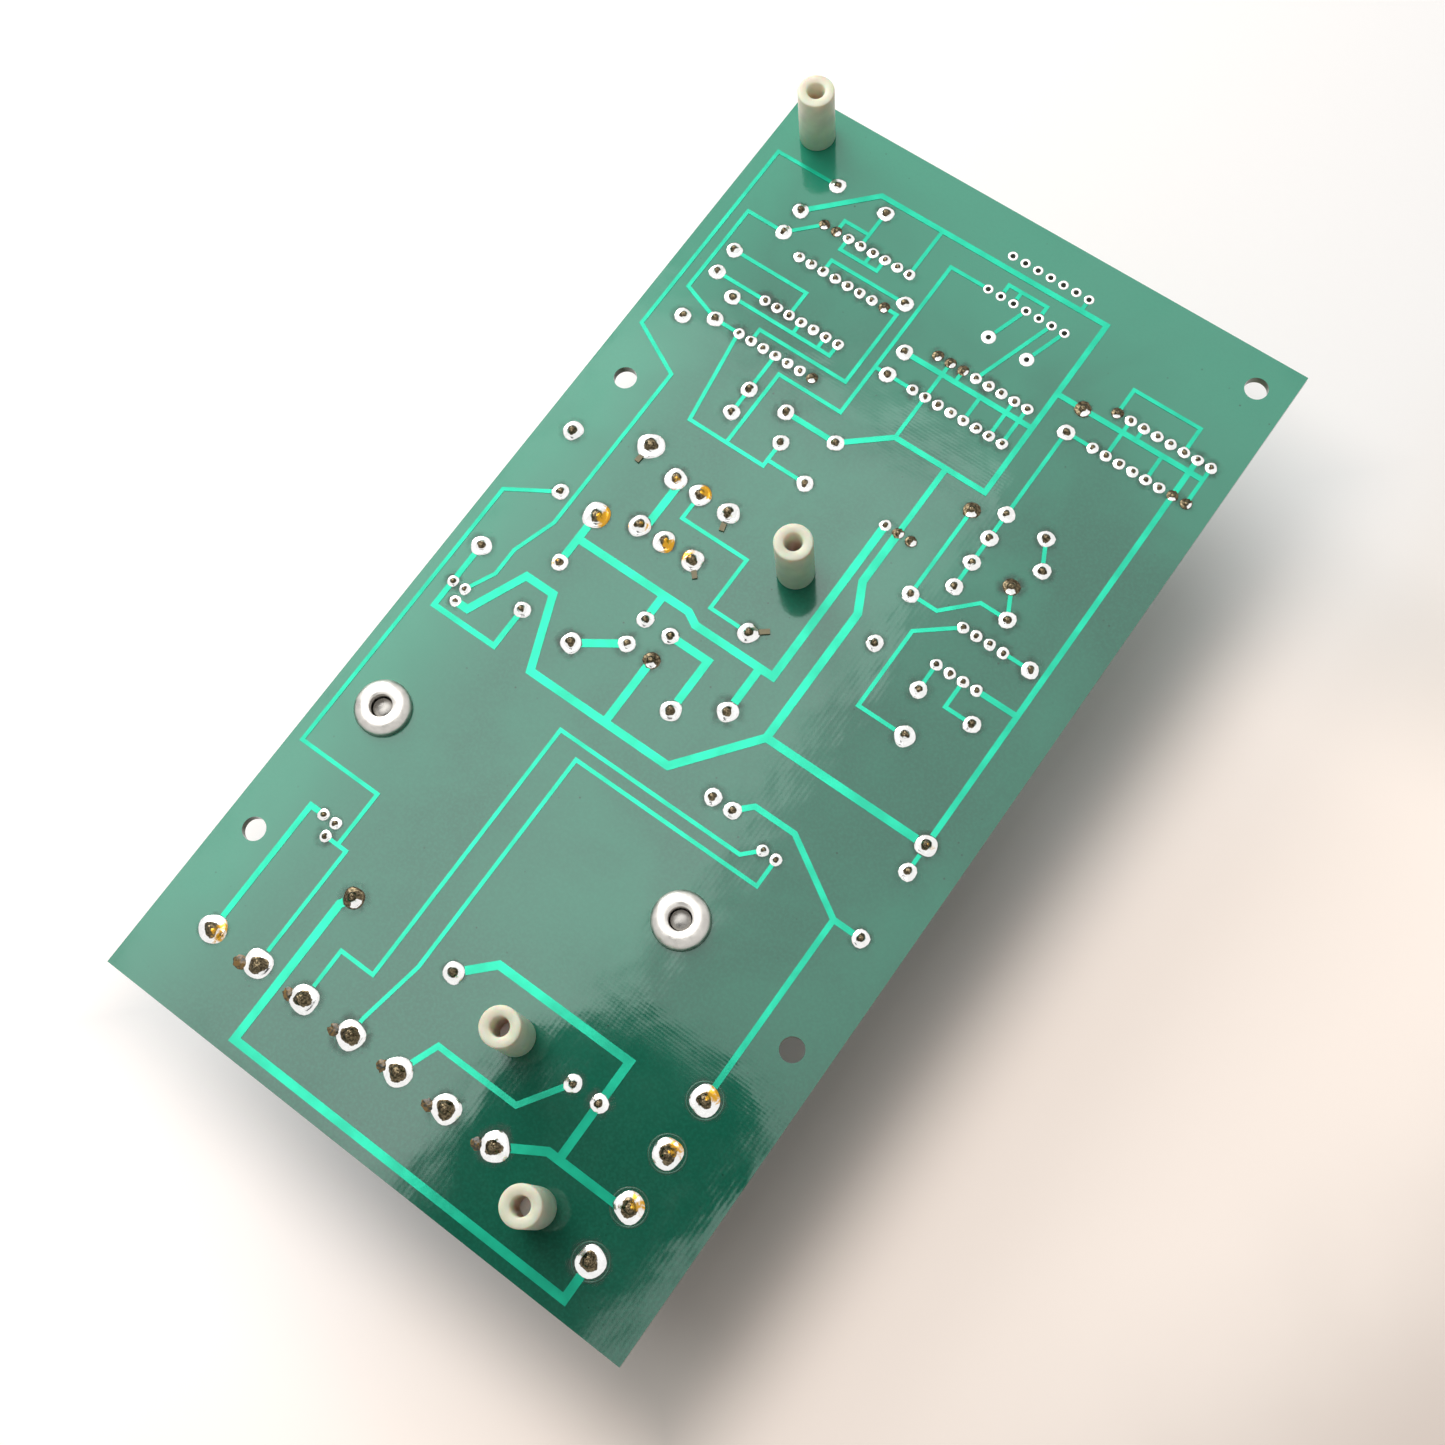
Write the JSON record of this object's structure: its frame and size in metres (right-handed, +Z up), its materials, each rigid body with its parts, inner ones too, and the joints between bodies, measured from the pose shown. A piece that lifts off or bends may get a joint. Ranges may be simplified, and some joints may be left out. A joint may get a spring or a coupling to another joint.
{
  "type": "printed circuit board",
  "caption": "Populated control board seen from its solder side, with nylon standoffs, barrier terminals, a relay and a frame-mounted transformer on the hidden side.",
  "frame": {"origin": "under the middle of the board, level with the flat of the transformer's strap that the part lies on", "axes": "+Y up the board's long side, away from the seven-way terminal; +X along its short side; +Z up, out of the solder side"},
  "size_m": [0.1016, 0.1906, 0.0573],
  "materials": {
    "board_green": "green glass-epoxy sheet under a semi-gloss mask",
    "track_green": "copper under the green mask",
    "solder": "bright tin-lead solder",
    "lead_metal": "tinned wire",
    "lead_tab": "dull bent lead ends",
    "nylon": "natural nylon",
    "zinc_steel": "plated steel",
    "core_steel": "varnished laminations",
    "strap_steel": "plated strap",
    "bobbin_nylon": "moulded bobbin",
    "winding_copper": "copper turns under yellow tape",
    "lead_sleeve": "insulated wire",
    "ic_black": "moulded package",
    "relay_cover": "smoked dust cover",
    "relay_base": "moulded base",
    "barrier_black": "moulded phenolic strip",
    "clamp_brass": "tinned brass clamps",
    "capacitor_blue": "sleeved can",
    "capacitor_amber": "dipped film capacitors",
    "film_yellow": "wrapped film capacitor",
    "resistor_tan": "lacquered resistors",
    "resistor_cement": "coated wirewound resistor",
    "diode_black": "moulded diode",
    "epoxy_black": "moulded package",
    "tab_metal": "tinned tab"
  },
  "bodies": {
    "root": {"circuit_board": "board_green", "solder_side_tracks": "track_green", "empty_pads": "solder", "solder_joints": "solder", "lead_tabs": "lead_tab", "nylon_standoffs": "nylon", "standoff_screws": "zinc_steel", "ring_nuts": "zinc_steel", "transformer_core": "core_steel", "transformer_frame": "strap_steel", "transformer_bobbin": "bobbin_nylon", "transformer_winding": "winding_copper", "transformer_leads": "lead_sleeve", "transformer_screws": "zinc_steel", "ic_upper_left": "ic_black", "ic_lower_left": "ic_black", "ic_middle": "ic_black", "ic_right": "ic_black", "ic_eight_pin": "ic_black", "ic_leads": "lead_metal", "relay_pins": "lead_metal", "relay_base": "relay_base", "relay_cover": "relay_cover", "regulator_body": "epoxy_black", "regulator_tab": "tab_metal", "regulator_leads": "lead_metal", "bridge_rectifier": "epoxy_black", "seven_way_terminal": "barrier_black", "four_way_terminal": "barrier_black", "terminal_clamps": "clamp_brass", "terminal_screws": "zinc_steel", "terminal_pins": "clamp_brass", "filter_capacitor": "capacitor_blue", "relay_capacitor": "film_yellow", "power_resistor": "resistor_cement", "relay_diode": "diode_black", "resistor_leads": "lead_metal", "axial_part_leads": "lead_metal", "radial_leads": "lead_metal", "transistor_left": "epoxy_black", "transistor_lower": "epoxy_black", "resistor_1": "resistor_tan", "resistor_2": "resistor_tan", "resistor_3": "resistor_tan", "resistor_4": "resistor_tan", "resistor_5": "resistor_tan", "resistor_6": "resistor_tan", "resistor_7": "resistor_tan", "resistor_8": "resistor_tan", "capacitor_1": "capacitor_amber", "capacitor_2": "capacitor_amber", "capacitor_3": "capacitor_amber", "capacitor_4": "capacitor_amber", "capacitor_5": "capacitor_amber", "capacitor_6": "capacitor_amber", "capacitor_7": "capacitor_amber", "capacitor_8": "capacitor_amber", "capacitor_9": "capacitor_amber"}
  },
  "joints": []
}
